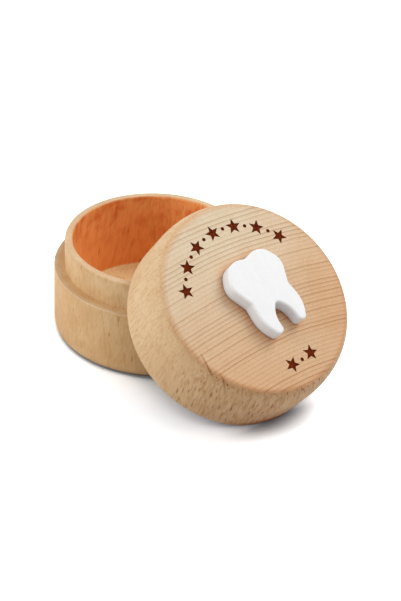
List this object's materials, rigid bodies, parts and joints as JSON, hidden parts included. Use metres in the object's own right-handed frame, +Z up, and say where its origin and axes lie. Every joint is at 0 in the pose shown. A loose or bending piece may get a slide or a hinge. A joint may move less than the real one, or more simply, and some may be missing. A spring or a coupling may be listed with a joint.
{
  "type": "baby tooth box",
  "caption": "Small round wooden keepsake box for milk teeth, open, with a flat cup in the base and a lid with a tooth figure leaning against it.",
  "frame": {"origin": "middle of the base's flat underside, on the table", "axes": "+Z up along the base's own axis; the front, where the lid leans towards the viewer's right, is towards -Y"},
  "size_m": [0.0778, 0.0829, 0.0465],
  "materials": {
    "beech_base": "bare beech, sanded smooth",
    "beech_lid": "bare beech, sanded smooth, with burnt marks",
    "tooth_paint": "white satin paint on wood",
    "wood_glue": "dried wood glue"
  },
  "bodies": {
    "base": {"box_base": "beech_base"},
    "loose_lid": {"lid": "beech_lid", "tooth_glue": "wood_glue", "tooth": "tooth_paint"}
  },
  "joints": [
    {"name": "lid_lift", "type": "slide", "parent": "base", "child": "loose_lid", "axis": [0.3787, -0.4677, 0.7986], "range_m": [0, 0.06]}
  ]
}
